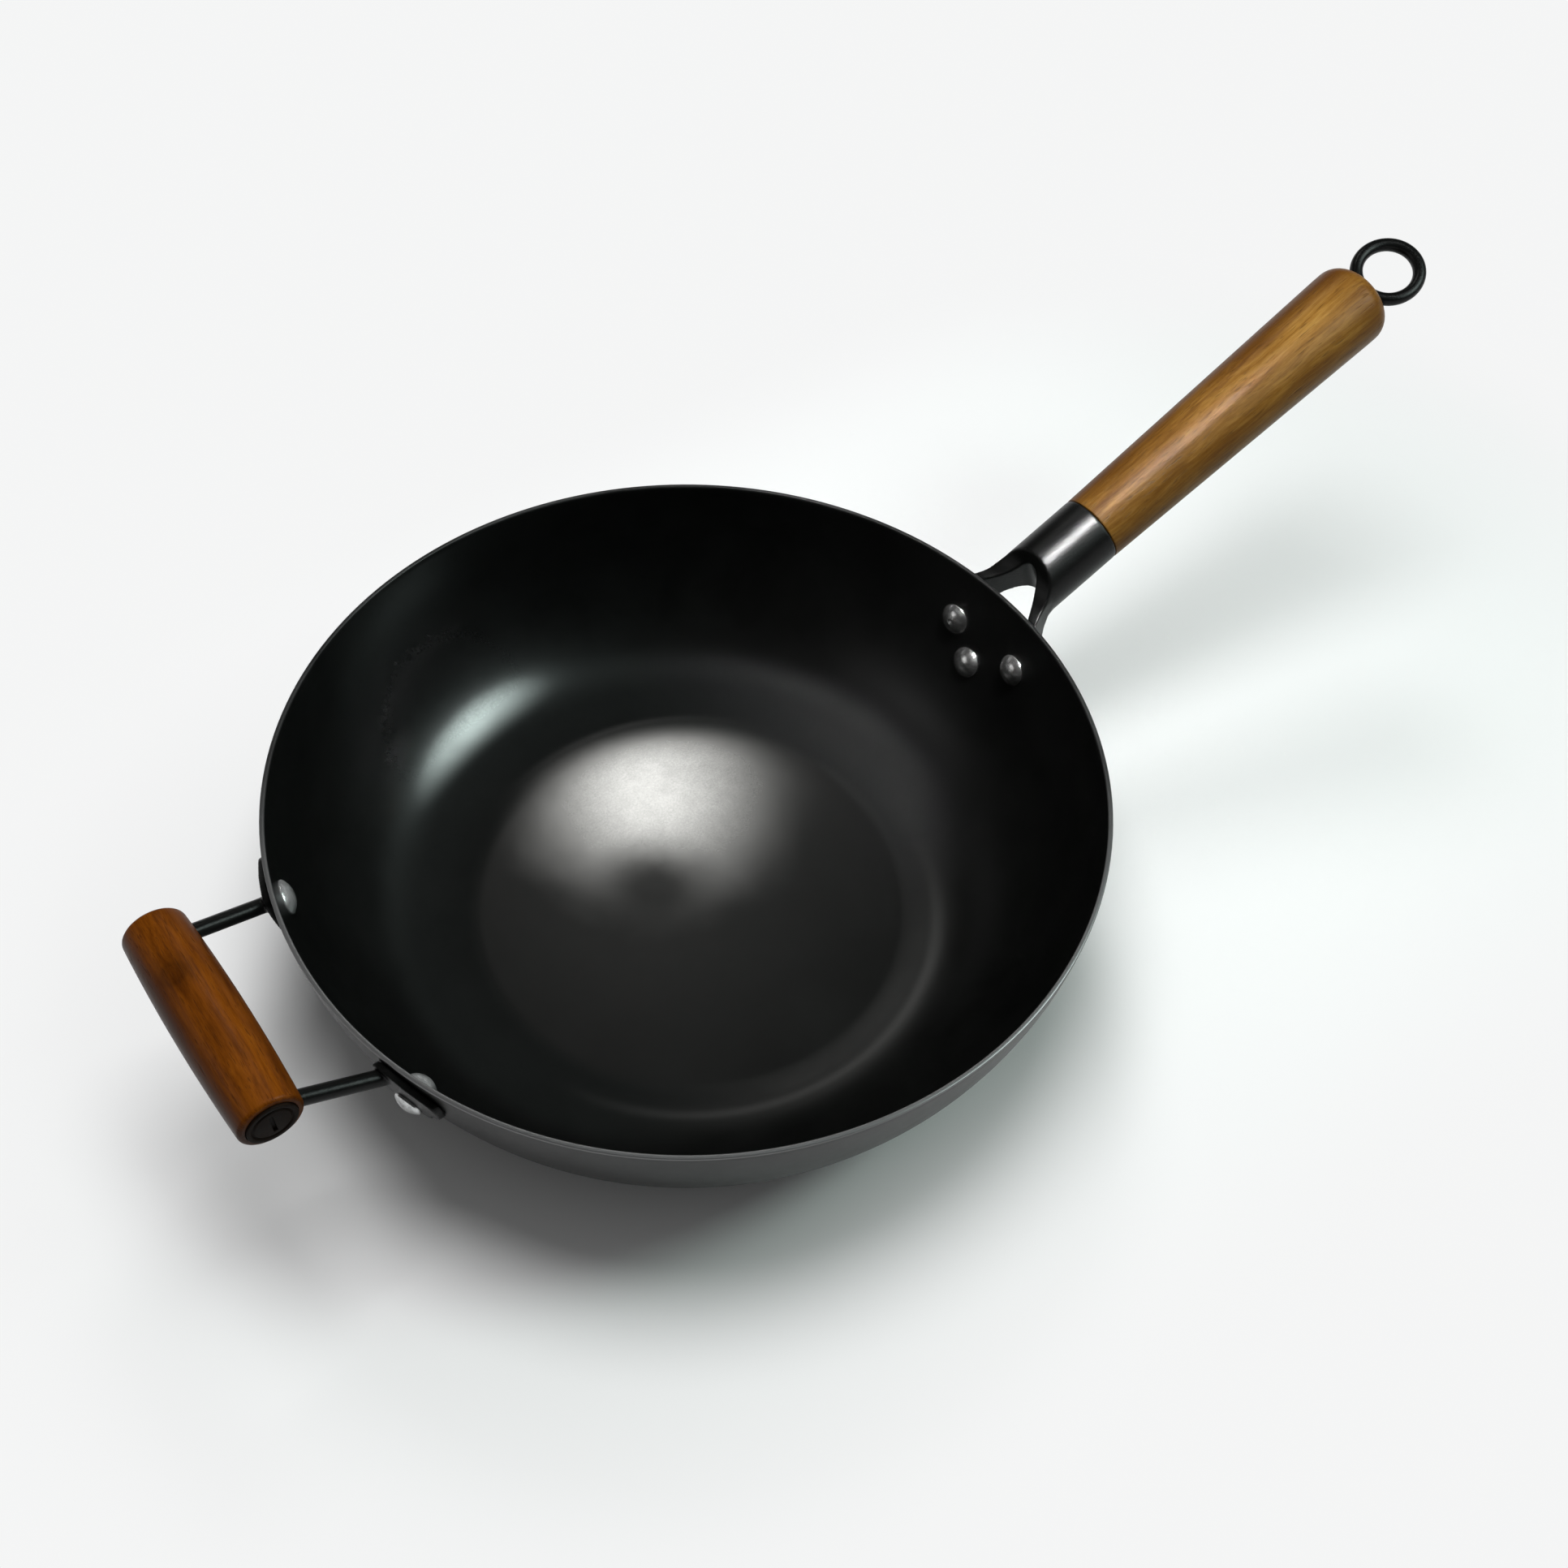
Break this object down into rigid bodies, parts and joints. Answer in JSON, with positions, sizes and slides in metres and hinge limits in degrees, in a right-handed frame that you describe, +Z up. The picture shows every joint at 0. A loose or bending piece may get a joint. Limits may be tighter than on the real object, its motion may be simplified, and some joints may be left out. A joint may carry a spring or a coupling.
{
  "type": "flat-bottom wok",
  "caption": "Flat-bottom carbon-steel wok with a long wooden handle in a forked riveted socket, a hanging ring at its end and a turned wooden helper grip on rods.",
  "frame": {"origin": "centre of the underside of the flat base", "axes": "+Z up out of the bowl, +X along the long handle as seen from above, -X towards the helper handle"},
  "size_m": [0.5903, 0.32, 0.175],
  "materials": {
    "black_steel": "satin black coating with faint turning marks",
    "black_paint": "fine-textured satin black",
    "rivet_steel": "plain formed steel",
    "golden_wood": "oiled, golden walnut with long grain",
    "red_wood": "oiled, dark red-brown"
  },
  "bodies": {
    "root": {"wok_bowl": "black_steel", "handle_socket": "black_paint", "handle_rivet_left": "rivet_steel", "handle_rivet_right": "rivet_steel", "handle_rivet_low": "rivet_steel", "handle_grip": "golden_wood", "hang_ring": "black_paint", "handle_washer": "rivet_steel", "handle_nut": "rivet_steel", "helper_leg_left": "black_paint", "helper_leg_right": "black_paint", "helper_grip": "red_wood", "helper_screw_left": "black_paint", "helper_screw_right": "black_paint", "helper_rivet_left": "rivet_steel", "helper_rivet_right": "rivet_steel"}
  },
  "joints": []
}
